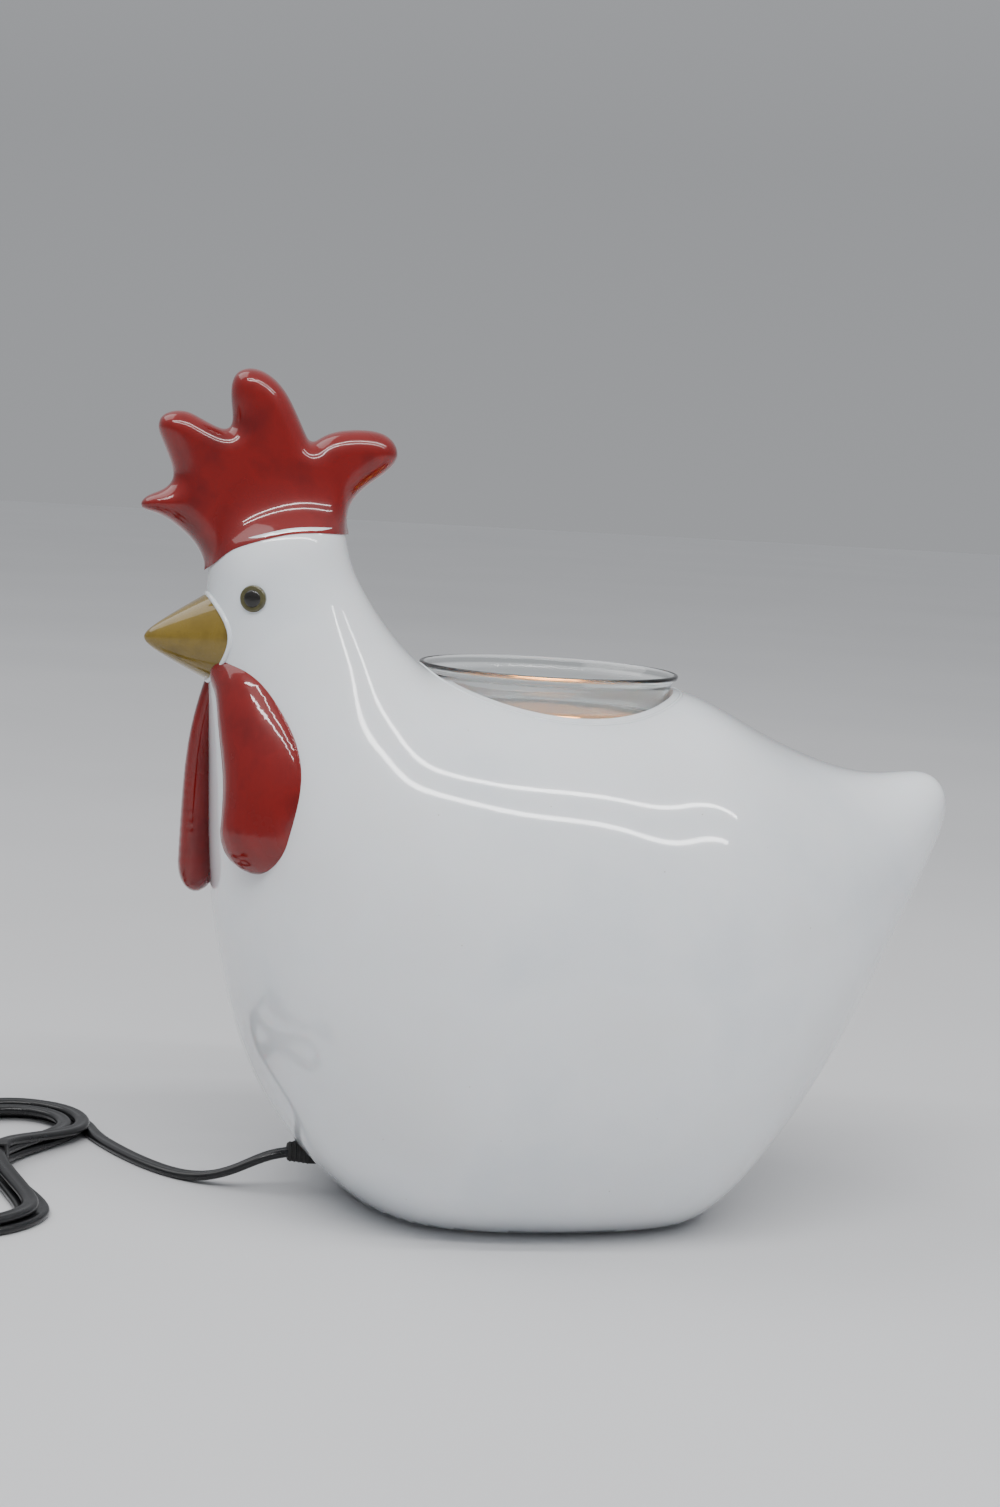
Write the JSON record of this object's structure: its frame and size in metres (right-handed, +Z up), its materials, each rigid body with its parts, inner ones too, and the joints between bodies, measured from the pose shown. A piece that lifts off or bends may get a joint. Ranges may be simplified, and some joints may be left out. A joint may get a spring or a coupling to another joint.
{
  "type": "electric wax warmer",
  "caption": "Hollow glazed ceramic chicken with a lift-out glass wax dish over a screw-in lamp, and a flat mains lead with an inline switch and plug.",
  "frame": {"origin": "on the table, under the middle of the chicken's box, without the mains lead", "axes": "+Z up, +X towards the tail, so the beak points to -X"},
  "size_m": [0.4195, 0.2169, 0.2898],
  "materials": {
    "glaze_white": "high gloss glaze",
    "glaze_red": "high gloss glaze",
    "glaze_olive": "gloss glaze",
    "enamel_olive": "gloss enamel",
    "enamel_black": "gloss enamel",
    "dish_glass": "clear",
    "bulb_glass": "clear",
    "porcelain": "semi gloss",
    "plastic_black": "fine texture",
    "plastic_grey": "satin",
    "rubber_black": "matt",
    "vinyl_black": "soft sheen",
    "steel": "zinc plated",
    "brass": "satin",
    "aluminium": "spun",
    "filament": "tungsten wire"
  },
  "bodies": {
    "root": {"body_shell": "glaze_white", "comb": "glaze_red", "beak": "glaze_olive", "wattle_left": "glaze_red", "wattle_right": "glaze_red", "eye_left": "enamel_olive", "eye_right": "enamel_olive", "pupil_left": "enamel_black", "pupil_right": "enamel_black", "base_plate": "plastic_black", "base_pads": "rubber_black", "clamp_bar": "steel", "lamp_pipe": "brass", "pipe_nuts": "brass", "pipe_washers": "steel", "heat_shield": "aluminium", "holder_body": "porcelain", "holder_ring": "plastic_black", "screw_shell": "brass", "centre_contact": "brass", "terminal_screws": "brass", "wire_live": "vinyl_black", "wire_neutral": "vinyl_black", "cord_bushing": "rubber_black", "cord_lead": "vinyl_black", "cord_hank": "vinyl_black", "hank_tie": "plastic_black", "cord_tail": "vinyl_black", "cord_end": "vinyl_black", "switch_base": "plastic_black", "switch_cover": "plastic_black", "switch_axle": "steel", "switch_screws": "steel", "plug_body": "vinyl_black", "plug_blades": "brass"},
    "dish": {"wax_dish": "dish_glass"},
    "bulb_carrier": {"bulb_insulator": "enamel_black"},
    "bulb": {"bulb_glass": "bulb_glass", "bulb_cap": "aluminium", "bulb_stem": "bulb_glass", "bulb_filament": "filament"},
    "switch_wheel": {"switch_wheel": "plastic_grey"}
  },
  "joints": [
    {"name": "dish_lift", "type": "slide", "parent": "root", "child": "dish", "axis": [0, 0, 1], "range_m": [0, 0.06]},
    {"name": "bulb_rise", "type": "slide", "parent": "root", "child": "bulb_carrier", "axis": [0, 0, 1], "range_m": [0, 0.0146]},
    {"name": "bulb_turn", "type": "hinge", "parent": "bulb_carrier", "child": "bulb", "pos_m": [-0.0035, 0, 0.1], "axis": [0, 0, 1], "range_deg": [0, 1440]},
    {"name": "switch_turn", "type": "hinge", "parent": "root", "child": "switch_wheel", "pos_m": [-0.255, 0.025, 0.0095], "axis": [1, 0, 0], "continuous": true}
  ],
  "couplings": [
    {"joint": "bulb_rise", "follows": "bulb_turn", "m_per_rad": 0.00057773}
  ]
}
